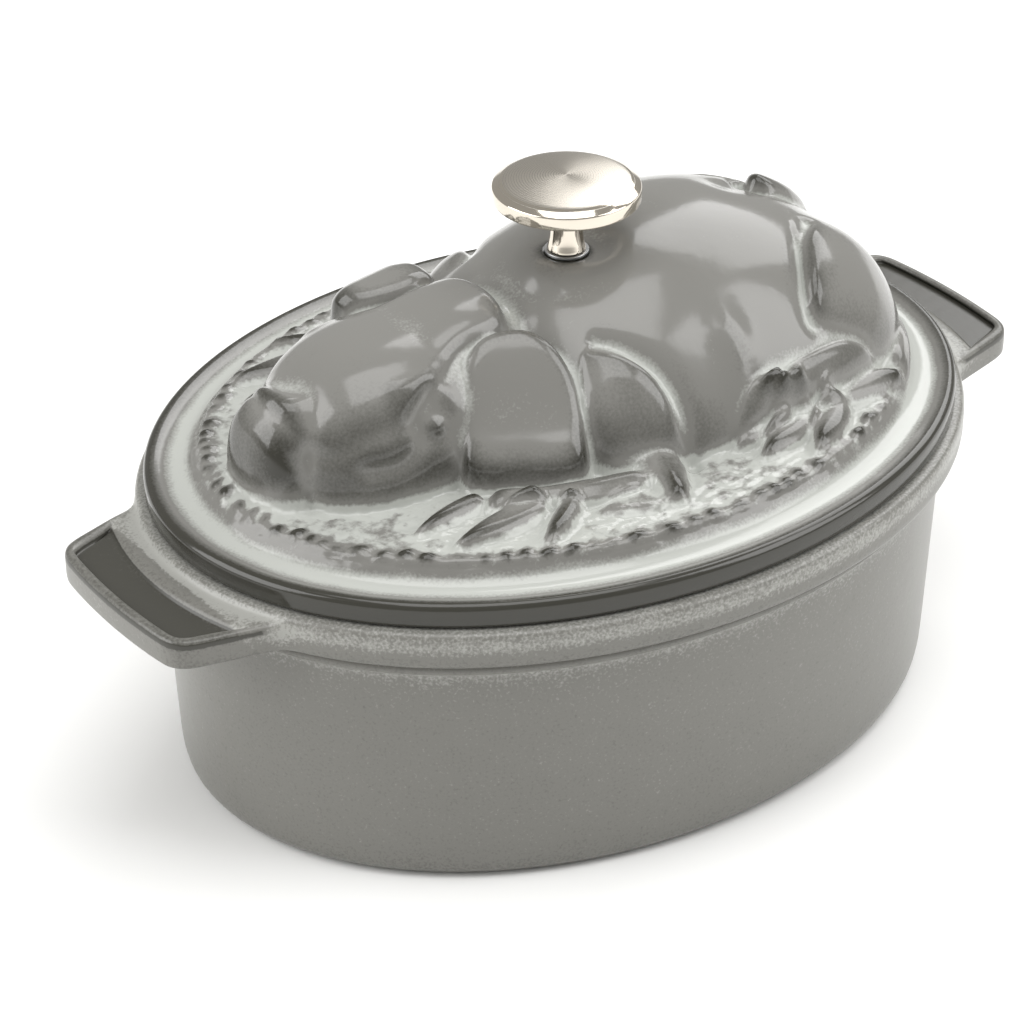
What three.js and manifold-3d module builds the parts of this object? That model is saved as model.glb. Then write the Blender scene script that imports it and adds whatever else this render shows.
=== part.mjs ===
// An oval enamelled cast-iron cocotte with a lying pig in relief on its lid, as a three.js scene graph.
// Millimetres, +Z up. The origin is the middle of the base, on the hob; +X runs to the right-hand handle,
// and the pig's head lies towards -X.
import * as THREE from "three";
import { mergeVertices } from "three/addons/utils/BufferGeometryUtils.js";
import Module from "manifold-3d";

const wasm = await Module();
wasm.setup();

// Driving dimensions of the pot. An oval is named by its half length along X; its half width is smaller
// by OVAL_DIFFERENCE, so a wall has the same thickness all the way round.
const RIM_HALF_LENGTH = 87;
const OVAL_DIFFERENCE = 19.5;
const POT_HEIGHT = 59;
const WALL = 4.2;
const WALL_DRAFT = 2.2;
const FLOOR = 4.6;
const BASE_ROUND = 5;
const INSIDE_ROUND = 9;
const RIM_BAND_HEIGHT = 7.5;
const RIM_BAND_PROUD = 4.2;
const RIM_TOP_ROUND = 2.4;
const BEAD_RADIUS = 1.3;
const BEAD_DROP = 2.2;
// Inside this many times OVAL_DIFFERENCE the oval shrinks in proportion, so that it closes on the axis.
const INNER_OVAL_RATIO = 2.4;

// The two tab handles, cast in one with the pot.
const HANDLE_REACH = 14.5;
const HANDLE_TIP_HALF_WIDTH = 17.5;
const HANDLE_ROOT_HALF_WIDTH = 25;
const HANDLE_THICKNESS = 6.4;
const HANDLE_DROP = 1.2;
const HANDLE_EDGE_ROUND = 1.6;
const HANDLE_CORNER = 7;
const HANDLE_TIP_BOW = 1.6;
const PANEL_BORDER = 3.2;
const PANEL_DEPTH = 1.2;

// The lid plate and the skirt that centres it in the pot.
const SEAT_CLEARANCE = 0.3;
const LID_INSET = 2;
const LID_LIP_HEIGHT = 4.8;
const LID_EDGE_ROUND = 1.5;
const COVE_WIDTH = 7.5;
const COVE_DEPTH = 0.8;
const GROUND_STEP = 2.4;
const GROUND_STEP_WIDTH = 3;
const GROUND_CROWN = 2.5;
const PLATE = 5;
const SKIRT_DEPTH = 3.6;
const SKIRT_WIDTH = 4;
const SKIRT_CLEARANCE = 0.7;

// The pig, lying on its belly: heights above the ground, and half sizes in plan. A larger fullness makes
// a form squarer in plan, a smaller slope makes its side steeper. The weights are those of a height and
// its neighbours in the relief as cast.
const BODY_HEIGHT = 33.8;
const BODY_HALF_LENGTH = 53;
const BODY_HALF_WIDTH = 40;
const BODY_CENTRE = [22, 1];
const BODY_FULLNESS = 2.3;
const BODY_SLOPE = 0.66;
const HEAD_HEIGHT = 25.3;
const HEAD_HALF_LENGTH = 27;
const HEAD_HALF_WIDTH = 20.5;
const HEAD_CENTRE = [-38, 1];
const HEAD_FULLNESS = 2.5;
const HEAD_SLOPE = 0.4;
const POLL_SIZE = [22, 18, 27.3];
const POLL_CENTRE = [-22, 1];
const POLL_FULLNESS = 2.6;
const POLL_SLOPE = 0.4;
const SNOUT_HEIGHT = 17.8;
const SNOUT_HALF_LENGTH = 9.8;
const SNOUT_HALF_WIDTH = 10.8;
const SNOUT_CENTRE = [-61, 2];
const SNOUT_FULLNESS = 2.8;
const SNOUT_SLOPE = 0.34;
const PIG_AXIS_Y = 1;
const BLEND = 2.2;
const CAST_ROUNDING = 1.4;
const OWN_WEIGHT = 2;
const NEAR_WEIGHT = 1.5;
const FURTHER_WEIGHT = 0.5;
const HOLLOW_CENTRE = [16, 1];
const HOLLOW_SIZE = [53, 31, 29];
const HEAD_HOLLOW_SIZE = [18, 11.5, 18.4];
const HOLLOW_FULLNESS = 2;
const HOLLOW_SLOPE = 0.7;

// Outlines of the forms raised from the pig's side, for a lid of LAID_OUT_HALF_LENGTH by
// LAID_OUT_HALF_WIDTH; the far side has the same, mirrored. Each has how far it is raised and how wide
// its rounded edge is.
const LAID_OUT_HALF_LENGTH = 85;
const LAID_OUT_HALF_WIDTH = 65.5;
const EAR = [
  [-36.5, -22], [-32, -13], [-25, -9.5], [-17, -12], [-13, -19], [-13.5, -26], [-18, -32], [-27, -28],
];
const FAR_EAR = [[-19, 13], [-19, 23], [-24, 29], [-32, 27], [-38, 21], [-36, 15], [-27, 12]];
const ARM = [
  [-13, -25], [-7, -19], [-1, -26], [2, -34], [0, -41], [-5, -48], [-9, -47], [-8, -37], [-12.5, -32],
];
const FOREFOOT = [[-34, -26], [-26, -30], [-17, -33], [-8, -36], [-9, -41], [-20, -40], [-27, -36], [-38, -31]];
const FORE_TOES = [
  [[-36, -25], [-44, -23], [-51, -26], [-45, -29], [-38, -28]],
  [[-32, -30], [-44, -32], [-50, -34], [-43, -40], [-33, -38], [-28, -33]],
  [[-24, -35], [-31, -39], [-36, -46], [-31, -45], [-24, -38]],
];
const HAUNCH = [[49, -10], [43, -20], [38, -30], [51, -32], [60, -37], [69, -28], [74, -12], [60, 0]];
const HIND_FOOT = [[12, -38], [20, -34.5], [36, -32], [50, -32], [57, -37], [46, -41], [33, -45], [21, -39]];
const HIND_TOES = [
  [[12, -38], [19, -34.5], [27, -34.5], [21, -37.5], [14, -39]],
  [[15, -43], [20, -37.5], [31, -36], [27, -41], [18, -46]],
  [[26, -47], [33, -39], [42, -35], [37, -42], [30, -48]],
];
const HEAD_CAP = [[-60, -11], [-46, -16], [-38, -14], [-30, -10], [-20, -9], [-16.5, -4], [-16.5, 1], [-66, 1]];
const SNOUT_DISC = [
  [-62, 3], [-60, -3], [-63, -6.5], [-69.5, -7.5], [-71, -3], [-71, 5], [-69.5, 11], [-64, 11],
];
const TAIL = [[49, 4], [54, 1], [61, 2], [67, 6], [66, 11], [60, 12], [54, 10]];
const ARM_RAISE = [4.5, 6];
const FOREFOOT_RAISE = [3.5, 5];
const FORE_TOE_RAISE = [3, 3];
const HAUNCH_RAISE = [4, 8];
const HIND_FOOT_RAISE = [5.5, 6];
const HIND_TOE_RAISE = [2.4, 2.8];
const HEAD_CAP_RAISE = [2, 2.2];
const SNOUT_DISC_RAISE = [2.2, 3];
const TAIL_RAISE = [4, 5];

// The ears' heights above the ground: the near ear hangs down its slope, the far ear is lifted and falls
// off across the lid.
const EAR_DOWN = [-0.416, -0.91];
const EAR_PROFILE = [[19, 27.3], [25, 22.8], [33, 10.8], [36.5, 8.8]];
const FAR_EAR_PROFILE = [[15, 27.8], [24, 26.3], [30, 21.3]];
const EAR_EDGE = 3.5;
const EAR_FALL = 6;
const EAR_BLEND = 0.8;

// The knob and its fastening.
const KNOB_X = 2;
const KNOB_SEAT_RADIUS = 6;
const KNOB_SEAT_SINK = 0.5;
const KNOB_DISC_RADIUS = 14.2;
const KNOB_DISC_EDGE = 3.3;
const KNOB_CROWN = 1.6;
const KNOB_BEVEL = 1.2;
const KNOB_HEIGHT = 15.4;
const STEM_TOP_RADIUS = 3.1;
const STEM_FOOT_RADIUS = 3.7;
const STEM_FLARE = 2;
const DISC_FILLET = 2;
const DISC_DISH = 0.5;
const SEAT_WASHER_RADIUS = 4.3;
const SEAT_WASHER_THICKNESS = 0.6;
const SCREW_RADIUS = 2;
const SCREW_GRIP_IN_KNOB = 7;
const SCREW_HEAD_RADIUS = 3.8;
const SCREW_HEAD_HEIGHT = 2.5;
const SCREW_HEAD_FLAT_RADIUS = 2.7;
const SCREW_SLOT = 0.9;
const THREAD_CLEARANCE = 0.3;
const HOLE_CLEARANCE = 0.5;
const STACK_CLEARANCE = 0.1;
const FLAT_WASHER_RADIUS = 5;
const FLAT_WASHER_THICKNESS = 1;
const SPRING_WASHER_RADIUS = 3.7;
const SPRING_WASHER_THICKNESS = 1;
const SPRING_WASHER_GAP = 0.8;
const SPOT_FACE_RADIUS = 6;
const LID_SEAT_THICKNESS = 7;

// Facets round an oval, round a small turned piece, in a rounded corner and across the relief.
const OVAL_SEGMENTS = 64;
const LID_SEGMENTS = 128;
const ROUND_SEGMENTS = 28;
const CORNER_SEGMENTS = 3;
const RELIEF_RINGS = 30;
const HOLLOW_RINGS = 7;
const WELD = 1e-4;

// A closed geometry as a manifold-3d solid.
function solid(geometry) {
  const bare = geometry.clone();
  bare.deleteAttribute("normal");
  bare.deleteAttribute("uv");
  const merged = mergeVertices(bare, WELD);
  const corners = merged.index.array;
  const triVerts = [];
  for (let i = 0; i < corners.length; i += 3) {
    const [a, b, c] = corners.slice(i, i + 3);
    if (a !== b && b !== c && c !== a) triVerts.push(a, b, c);
  }
  return new wasm.Manifold(
    new wasm.Mesh({
      numProp: 3,
      vertProperties: merged.attributes.position.array,
      triVerts: new Uint32Array(triVerts),
    }),
  );
}

// A solid back as a three.js geometry.
function geometryOf(made) {
  const { vertProperties, triVerts } = made.getMesh();
  const geometry = new THREE.BufferGeometry();
  geometry.setAttribute("position", new THREE.BufferAttribute(vertProperties, 3));
  geometry.setIndex(new THREE.BufferAttribute(triVerts, 1));
  geometry.computeVertexNormals();
  return geometry;
}

const union = (solids) => solids.reduce((whole, next) => whole.add(next));

// A profile of (radius, height) turned round +Z.
function turned(profile, segments = ROUND_SEGMENTS) {
  return new THREE.LatheGeometry(profile, segments).rotateX(Math.PI / 2);
}

// A profile of (half length, height) swept round the oval.
const innerOval = INNER_OVAL_RATIO * OVAL_DIFFERENCE;
function ovalTurned(profile) {
  const geometry = turned(profile, OVAL_SEGMENTS);
  const place = geometry.attributes.position;
  for (let i = 0; i < place.count; i++) {
    const halfLength = Math.max(Math.hypot(place.getX(i), place.getY(i)), innerOval);
    place.setY(i, (place.getY(i) * (halfLength - OVAL_DIFFERENCE)) / halfLength);
  }
  return geometry;
}

// A ring with a square section, between two heights.
function ring(outer, inner, low, high) {
  const section = [
    [inner, low],
    [outer, low],
    [outer, high],
    [inner, high],
    [inner, low],
  ];
  return turned(section.map(([r, z]) => new THREE.Vector2(r, z)));
}

const rimInside = RIM_HALF_LENGTH - RIM_BAND_PROUD - WALL;
const bandBottom = POT_HEIGHT - RIM_BAND_HEIGHT;
const beadHeight = bandBottom - BEAD_DROP;
const wallTop = RIM_HALF_LENGTH - RIM_BAND_PROUD;
const wallFoot = wallTop - WALL_DRAFT;

// Half length of the drafted wall's outside at a height, below the bead.
const wallAt = (height) => wallFoot + (WALL_DRAFT * height) / (beadHeight - BEAD_RADIUS);

// The inside of the pot, as the solid that fills it.
function potCavity() {
  const floorEdge = wallFoot - WALL;
  const inside = new THREE.Path();
  inside.moveTo(0, FLOOR);
  inside.lineTo(floorEdge - INSIDE_ROUND, FLOOR);
  inside.quadraticCurveTo(floorEdge, FLOOR, wallAt(FLOOR + INSIDE_ROUND) - WALL, FLOOR + INSIDE_ROUND);
  inside.lineTo(rimInside, POT_HEIGHT);
  inside.lineTo(rimInside, POT_HEIGHT + RIM_BAND_HEIGHT);
  inside.lineTo(0, POT_HEIGHT + RIM_BAND_HEIGHT);
  return solid(ovalTurned(inside.getPoints(CORNER_SEGMENTS + 1)));
}

// The outside of the pot without its handles: base, drafted wall, bead and rim band.
function potOutside() {
  const outside = new THREE.Path();
  outside.moveTo(0, 0);
  outside.lineTo(wallFoot - BASE_ROUND, 0);
  outside.quadraticCurveTo(wallFoot, 0, wallAt(BASE_ROUND), BASE_ROUND);
  outside.lineTo(wallTop, beadHeight - BEAD_RADIUS);
  outside.quadraticCurveTo(wallTop + 2 * BEAD_RADIUS, beadHeight, wallTop, beadHeight + BEAD_RADIUS);
  outside.quadraticCurveTo(wallTop, bandBottom, RIM_HALF_LENGTH - RIM_TOP_ROUND / 2, bandBottom);
  outside.lineTo(RIM_HALF_LENGTH, POT_HEIGHT - RIM_TOP_ROUND);
  outside.quadraticCurveTo(RIM_HALF_LENGTH, POT_HEIGHT, RIM_HALF_LENGTH - RIM_TOP_ROUND, POT_HEIGHT);
  outside.lineTo(0, POT_HEIGHT);
  return solid(ovalTurned(outside.getPoints(CORNER_SEGMENTS)));
}

// The plan of a handle: wide at the rim, narrower at its rounded tip. Inset shrinks it on its free sides.
function handlePlan(inset) {
  const root = wallTop - WALL / 2;
  const tip = RIM_HALF_LENGTH + HANDLE_REACH - inset;
  const rootHalf = HANDLE_ROOT_HALF_WIDTH - inset;
  const tipHalf = HANDLE_TIP_HALF_WIDTH - inset;
  const corner = HANDLE_CORNER - inset;
  const plan = new THREE.Shape();
  plan.moveTo(root, -rootHalf);
  plan.lineTo(tip - corner, -tipHalf);
  plan.quadraticCurveTo(tip, -tipHalf, tip, -tipHalf + corner);
  plan.quadraticCurveTo(tip + HANDLE_TIP_BOW, 0, tip, tipHalf - corner);
  plan.quadraticCurveTo(tip, tipHalf, tip - corner, tipHalf);
  plan.lineTo(root, rootHalf);
  return plan;
}

// One handle on the +X side, with its rounded edge and the sunk panel on top.
function handle() {
  const top = POT_HEIGHT - HANDLE_DROP;
  const bottom = top - HANDLE_THICKNESS;
  const tab = new THREE.ExtrudeGeometry(handlePlan(HANDLE_EDGE_ROUND), {
    depth: HANDLE_THICKNESS - 2 * HANDLE_EDGE_ROUND,
    bevelThickness: HANDLE_EDGE_ROUND,
    bevelSize: HANDLE_EDGE_ROUND,
    bevelSegments: CORNER_SEGMENTS,
    curveSegments: 2 * CORNER_SEGMENTS,
  }).translate(0, 0, bottom + HANDLE_EDGE_ROUND);
  const panel = new THREE.ExtrudeGeometry(handlePlan(PANEL_BORDER), {
    depth: 2 * PANEL_DEPTH,
    bevelEnabled: false,
    curveSegments: 2 * CORNER_SEGMENTS,
  }).translate(0, 0, top - PANEL_DEPTH);
  return solid(tab).subtract(solid(panel));
}

function potGeometry() {
  const right = handle();
  const left = right.rotate([0, 0, 180]);
  return geometryOf(union([right, left, potOutside()]).subtract(potCavity()));
}

// Heights of the lid, from the rim that it sits on.
const lidBottom = POT_HEIGHT + SEAT_CLEARANCE;
const lidHalfLength = RIM_HALF_LENGTH - LID_INSET;
const lidHalfWidth = lidHalfLength - OVAL_DIFFERENCE;
const lidEdgeTop = lidBottom + LID_LIP_HEIGHT;
const coveInside = lidHalfLength - LID_EDGE_ROUND - COVE_WIDTH;
const groundEdge = coveInside - GROUND_STEP_WIDTH;
const ground = lidEdgeTop - COVE_DEPTH + GROUND_STEP;
const plateUnder = ground - PLATE;
const skirtOutside = rimInside - SKIRT_CLEARANCE;
const skirtInside = skirtOutside - SKIRT_WIDTH;

// Places in the pig's layout, from places on this lid.
const layoutX = (x) => (x * LAID_OUT_HALF_LENGTH) / lidHalfLength;
const layoutY = (y) => (y * LAID_OUT_HALF_WIDTH) / lidHalfWidth;

// The higher of two heights, with a rounded corner where they meet.
function smoothMax(a, b, blend) {
  const mix = Math.min(Math.max(0.5 + (a - b) / (2 * blend), 0), 1);
  return b + (a - b) * mix + blend * mix * (1 - mix);
}

// A dome over a rounded oval in plan. Outside the oval it falls away below the ground.
function dome(x, y, [cx, cy], [halfLength, halfWidth, height], [fullness, slope]) {
  const out = Math.abs((x - cx) / halfLength) ** fullness + Math.abs((y - cy) / halfWidth) ** fullness;
  return out < 1 ? height * (1 - out) ** slope : -height * (out - 1);
}

// How far a place is inside an outline; negative outside.
function depthInside(x, y, outline) {
  let inside = false;
  let nearest = Infinity;
  outline.forEach(([ax, ay], i) => {
    const [bx, by] = outline[(i + 1) % outline.length];
    if (ay > y !== by > y && x < ((bx - ax) * (y - ay)) / (by - ay) + ax) inside = !inside;
    const along = ((x - ax) * (bx - ax) + (y - ay) * (by - ay)) / ((bx - ax) ** 2 + (by - ay) ** 2);
    const t = Math.min(Math.max(along, 0), 1);
    nearest = Math.min(nearest, Math.hypot(x - ax - t * (bx - ax), y - ay - t * (by - ay)));
  });
  return inside ? nearest : -nearest;
}

// What a raised form adds at a place: nothing outside its outline, a quarter-round edge, then a plateau.
function raised(x, y, outline, [raise, edge]) {
  const t = Math.min(Math.max(depthInside(x, y, outline) / edge, 0), 1);
  return raise * Math.sqrt(1 - (1 - t) ** 2);
}

// An ear: a slab with a rounded edge, steep all round, whose top is the given surface.
function flap(x, y, outline, surface) {
  const depth = depthInside(x, y, outline);
  const t = Math.min(Math.max(depth / EAR_EDGE, 0), 1);
  return surface - EAR_EDGE * (1 - Math.sqrt(1 - (1 - t) ** 2)) + EAR_FALL * Math.min(depth, 0);
}

// The value of a table of (place, value) at a place, straight between its entries.
function tableAt(table, at) {
  const after = table.findIndex(([place]) => place >= at);
  if (after === 0) return table[0][1];
  if (after < 0) return table[table.length - 1][1];
  const [[low, lowValue], [high, highValue]] = [table[after - 1], table[after]];
  return lowValue + ((highValue - lowValue) * (at - low)) / (high - low);
}

const BODY_SIZE = [BODY_HALF_LENGTH, BODY_HALF_WIDTH, BODY_HEIGHT];
const HEAD_SIZE = [HEAD_HALF_LENGTH, HEAD_HALF_WIDTH, HEAD_HEIGHT];
const SNOUT_SIZE = [SNOUT_HALF_LENGTH, SNOUT_HALF_WIDTH, SNOUT_HEIGHT];
const SIDE_FORMS = [
  [HEAD_CAP, HEAD_CAP_RAISE],
  [ARM, ARM_RAISE],
  [FOREFOOT, FOREFOOT_RAISE],
  ...FORE_TOES.map((toe) => [toe, FORE_TOE_RAISE]),
  [HAUNCH, HAUNCH_RAISE],
  [HIND_FOOT, HIND_FOOT_RAISE],
  ...HIND_TOES.map((toe) => [toe, HIND_TOE_RAISE]),
];

// Height of the modelled relief above the part's base, at a place inside the ground's edge.
function modelledHeight(x, y) {
  const u = layoutX(x);
  const v = layoutY(y);
  const body = dome(u, v, BODY_CENTRE, BODY_SIZE, [BODY_FULLNESS, BODY_SLOPE]);
  const skull = dome(u, v, HEAD_CENTRE, HEAD_SIZE, [HEAD_FULLNESS, HEAD_SLOPE]);
  const poll = dome(u, v, POLL_CENTRE, POLL_SIZE, [POLL_FULLNESS, POLL_SLOPE]);
  const snout = dome(u, v, SNOUT_CENTRE, SNOUT_SIZE, [SNOUT_FULLNESS, SNOUT_SLOPE]);
  const head = smoothMax(smoothMax(skull, poll, BLEND), snout, BLEND);
  const crown = GROUND_CROWN * (1 - (x / groundEdge) ** 2 - (y / (groundEdge - OVAL_DIFFERENCE)) ** 2);
  let height = smoothMax(smoothMax(body, head, BLEND), Math.max(crown, 0), BLEND);
  for (const [outline, raise] of SIDE_FORMS) {
    height += raised(u, PIG_AXIS_Y - Math.abs(v - PIG_AXIS_Y), outline, raise);
  }
  const hanging = tableAt(EAR_PROFILE, u * EAR_DOWN[0] + v * EAR_DOWN[1]);
  const lifted = tableAt(FAR_EAR_PROFILE, v);
  height += raised(u, v, SNOUT_DISC, SNOUT_DISC_RAISE);
  height = smoothMax(height, flap(u, v, EAR, hanging), EAR_BLEND);
  height = smoothMax(height, flap(u, v, FAR_EAR, lifted), EAR_BLEND);
  return ground + height + raised(u, v, TAIL, TAIL_RAISE);
}

// The relief as cast: sand and enamel round it off, so a height is the mean of those around it.
const AROUND = [0, 1, 2, 3, 4, 5].map((i) => (Math.PI * i) / 3);
function reliefHeight(x, y) {
  const near = AROUND.map((angle) =>
    modelledHeight(x + CAST_ROUNDING * Math.cos(angle), y + CAST_ROUNDING * Math.sin(angle)),
  );
  const further = AROUND.map((angle) =>
    modelledHeight(x - 2 * CAST_ROUNDING * Math.sin(angle), y + 2 * CAST_ROUNDING * Math.cos(angle)),
  );
  const sum = (heights) => heights.reduce((total, height) => total + height);
  const weight = OWN_WEIGHT + AROUND.length * (NEAR_WEIGHT + FURTHER_WEIGHT);
  const total = OWN_WEIGHT * modelledHeight(x, y) + NEAR_WEIGHT * sum(near) + FURTHER_WEIGHT * sum(further);
  return total / weight;
}

// Height of the lid's underside: the plate, hollowed out under the body and the head.
function hollowHeight(x, y) {
  const u = layoutX(x);
  const v = layoutY(y);
  const form = [HOLLOW_FULLNESS, HOLLOW_SLOPE];
  const body = dome(u, v, HOLLOW_CENTRE, HOLLOW_SIZE, form);
  const head = dome(u, v, HEAD_CENTRE, HEAD_HOLLOW_SIZE, form);
  return plateUnder + smoothMax(smoothMax(body, head, BLEND), 0, BLEND);
}

const knobSeat = reliefHeight(KNOB_X, 0) - KNOB_SEAT_SINK;
const spotFace = knobSeat - LID_SEAT_THICKNESS;

// A ring of places round the lid: a circle round the knob's axis, or an oval of the plate.
const circlePlace = (radius) => (angle) => [KNOB_X + radius * Math.cos(angle), radius * Math.sin(angle)];
function ovalPlace(halfLength) {
  return (angle) => [halfLength * Math.cos(angle), (halfLength - OVAL_DIFFERENCE) * Math.sin(angle)];
}
function between(from, to, share) {
  return (angle) => {
    const [ax, ay] = from(angle);
    const [bx, by] = to(angle);
    return [ax + (bx - ax) * share, ay + (by - ay) * share];
  };
}

// The rings of the lid, in order: from the screw hole over the relief to the lip, then under the skirt and
// the hollow back to the hole.
function lidRings() {
  const hole = circlePlace(SCREW_RADIUS + HOLE_CLEARANCE);
  const seat = circlePlace(KNOB_SEAT_RADIUS);
  const spot = circlePlace(SPOT_FACE_RADIUS);
  const flat = (place, height) => ({ place, height: () => height });
  const rings = [flat(hole, knobSeat), flat(seat, knobSeat)];
  const edge = ovalPlace(groundEdge);
  for (let i = 1; i <= RELIEF_RINGS; i++) {
    rings.push({ place: between(seat, edge, i / RELIEF_RINGS), height: reliefHeight });
  }
  const lipTop = lidHalfLength - LID_EDGE_ROUND;
  const corner = LID_EDGE_ROUND * (1 - Math.SQRT1_2);
  rings.push(
    flat(ovalPlace(coveInside), lidEdgeTop - COVE_DEPTH / 2),
    flat(ovalPlace((coveInside + lipTop) / 2), lidEdgeTop - COVE_DEPTH),
    flat(ovalPlace(lipTop), lidEdgeTop),
    flat(ovalPlace(lidHalfLength - corner), lidEdgeTop - corner),
    flat(ovalPlace(lidHalfLength), lidEdgeTop - LID_EDGE_ROUND),
    flat(ovalPlace(lidHalfLength), lidBottom),
    flat(ovalPlace(skirtOutside), lidBottom),
    flat(ovalPlace(skirtOutside), lidBottom - SKIRT_DEPTH),
    flat(ovalPlace(skirtInside), lidBottom - SKIRT_DEPTH),
  );
  const under = ovalPlace(skirtInside - SKIRT_WIDTH);
  rings.push(flat(under, plateUnder));
  for (let i = 1; i < HOLLOW_RINGS; i++) {
    rings.push({ place: between(under, spot, i / HOLLOW_RINGS), height: hollowHeight });
  }
  rings.push(flat(spot, spotFace), flat(hole, spotFace));
  return rings;
}

function lidGeometry() {
  const rings = lidRings();
  const places = [];
  const corners = [];
  rings.forEach(({ place, height }, i) => {
    const next = (i + 1) % rings.length;
    for (let j = 0; j < LID_SEGMENTS; j++) {
      const [x, y] = place((2 * Math.PI * j) / LID_SEGMENTS);
      places.push(x, y, height(x, y));
      const beside = (j + 1) % LID_SEGMENTS;
      const here = [i * LID_SEGMENTS + j, i * LID_SEGMENTS + beside];
      const there = [next * LID_SEGMENTS + j, next * LID_SEGMENTS + beside];
      corners.push(here[0], there[0], there[1], here[0], there[1], here[1]);
    }
  });
  const geometry = new THREE.BufferGeometry();
  geometry.setAttribute("position", new THREE.Float32BufferAttribute(places, 3));
  geometry.setIndex(corners);
  geometry.computeVertexNormals();
  return geometry;
}

// The knob stands on its seat washer; heights here are from the lid's seat.
const knobFoot = SEAT_WASHER_THICKNESS + 2 * STACK_CLEARANCE;
const knobDiscTop = knobFoot + KNOB_HEIGHT - KNOB_CROWN;
const knobDiscUnder = knobDiscTop - KNOB_DISC_EDGE;
const screwTip = knobFoot + SCREW_GRIP_IN_KNOB;

// One turned piece: flared stem, disc with a polished edge, bevel and low crown, and a blind tapped hole.
function knobGeometry() {
  const bore = SCREW_RADIUS + THREAD_CLEARANCE;
  const boreEnd = screwTip + THREAD_CLEARANCE + SCREW_RADIUS / 2;
  const knob = new THREE.Path();
  knob.moveTo(0, boreEnd);
  knob.lineTo(bore, boreEnd);
  knob.lineTo(bore, knobFoot);
  knob.lineTo(STEM_FOOT_RADIUS, knobFoot);
  const stemEnd = knobDiscUnder - DISC_DISH;
  const filletTop = STEM_TOP_RADIUS + DISC_FILLET;
  knob.quadraticCurveTo(STEM_TOP_RADIUS, knobFoot + STEM_FLARE, STEM_TOP_RADIUS, stemEnd - DISC_FILLET);
  knob.quadraticCurveTo(STEM_TOP_RADIUS, stemEnd, filletTop, stemEnd);
  knob.lineTo(KNOB_DISC_RADIUS, knobDiscUnder);
  knob.lineTo(KNOB_DISC_RADIUS, knobDiscTop - KNOB_BEVEL / 2);
  knob.lineTo(KNOB_DISC_RADIUS - KNOB_BEVEL, knobDiscTop);
  knob.quadraticCurveTo(KNOB_DISC_RADIUS / 2, knobDiscTop + KNOB_CROWN, 0, knobDiscTop + KNOB_CROWN);
  return turned(knob.getPoints(CORNER_SEGMENTS + 1), 2 * ROUND_SEGMENTS);
}

// The stack below the lid hangs from the spot face; heights here are from the lid's seat.
const stackTop = -LID_SEAT_THICKNESS - STACK_CLEARANCE;
const flatWasherUnder = stackTop - FLAT_WASHER_THICKNESS;
const springWasherTop = flatWasherUnder - STACK_CLEARANCE;
const springWasherUnder = springWasherTop - SPRING_WASHER_THICKNESS;
const screwHeadTop = springWasherUnder - STACK_CLEARANCE;
const screwHeadUnder = screwHeadTop - SCREW_HEAD_HEIGHT;

// A pan-head screw, head down, with a straight slot across the head.
function screwGeometry() {
  const screw = new THREE.Path();
  screw.moveTo(0, screwHeadUnder);
  screw.lineTo(SCREW_HEAD_FLAT_RADIUS, screwHeadUnder);
  screw.quadraticCurveTo(SCREW_HEAD_RADIUS, screwHeadUnder, SCREW_HEAD_RADIUS, screwHeadTop - SCREW_SLOT);
  screw.lineTo(SCREW_HEAD_RADIUS, screwHeadTop);
  screw.lineTo(SCREW_RADIUS, screwHeadTop);
  screw.lineTo(SCREW_RADIUS, screwTip - SCREW_RADIUS / 2);
  screw.lineTo(SCREW_RADIUS / 2, screwTip);
  screw.lineTo(0, screwTip);
  const slot = new THREE.BoxGeometry(3 * SCREW_HEAD_RADIUS, SCREW_SLOT, SCREW_HEAD_HEIGHT).translate(
    0,
    0,
    screwHeadUnder,
  );
  return geometryOf(solid(turned(screw.getPoints(CORNER_SEGMENTS))).subtract(solid(slot)));
}

// A split ring with a gap cut through one side.
function springWasherGeometry() {
  const hole = SCREW_RADIUS + THREAD_CLEARANCE;
  const coil = ring(SPRING_WASHER_RADIUS, hole, springWasherUnder, springWasherTop);
  const gap = new THREE.BoxGeometry(
    2 * SPRING_WASHER_RADIUS,
    SPRING_WASHER_GAP,
    3 * SPRING_WASHER_THICKNESS,
  ).translate(SPRING_WASHER_RADIUS, 0, (springWasherTop + springWasherUnder) / 2);
  return geometryOf(solid(coil).subtract(solid(gap)));
}

// Finishes: grey glossy enamel on the castings, bright nickel on the knob, steel on the fastening.
const enamel = new THREE.MeshStandardMaterial({ color: 0x85837f, roughness: 0.22, metalness: 0 });
const nickel = new THREE.MeshStandardMaterial({ color: 0xcfc8bc, roughness: 0.18, metalness: 1 });
const steel = new THREE.MeshStandardMaterial({ color: 0xa9abad, roughness: 0.35, metalness: 1 });

function piece(name, geometry, material) {
  const mesh = new THREE.Mesh(geometry, material);
  mesh.name = name;
  return mesh;
}

const washerHole = SCREW_RADIUS + THREAD_CLEARANCE;
const seatWasherTop = STACK_CLEARANCE + SEAT_WASHER_THICKNESS;
const seatWasher = ring(SEAT_WASHER_RADIUS, washerHole, STACK_CLEARANCE, seatWasherTop);
const flatWasher = ring(FLAT_WASHER_RADIUS, washerHole, flatWasherUnder, stackTop);

const knobGroup = new THREE.Group();
knobGroup.position.set(KNOB_X, 0, knobSeat);
knobGroup.add(
  piece("knob", knobGeometry(), nickel),
  piece("knob_seat_washer", seatWasher, steel),
  piece("knob_screw", screwGeometry(), steel),
  piece("flat_washer", flatWasher, steel),
  piece("spring_washer", springWasherGeometry(), steel),
);

const cocotte = new THREE.Group();
cocotte.add(piece("pot", potGeometry(), enamel), piece("lid", lidGeometry(), enamel), knobGroup);

export default cocotte;
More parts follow.
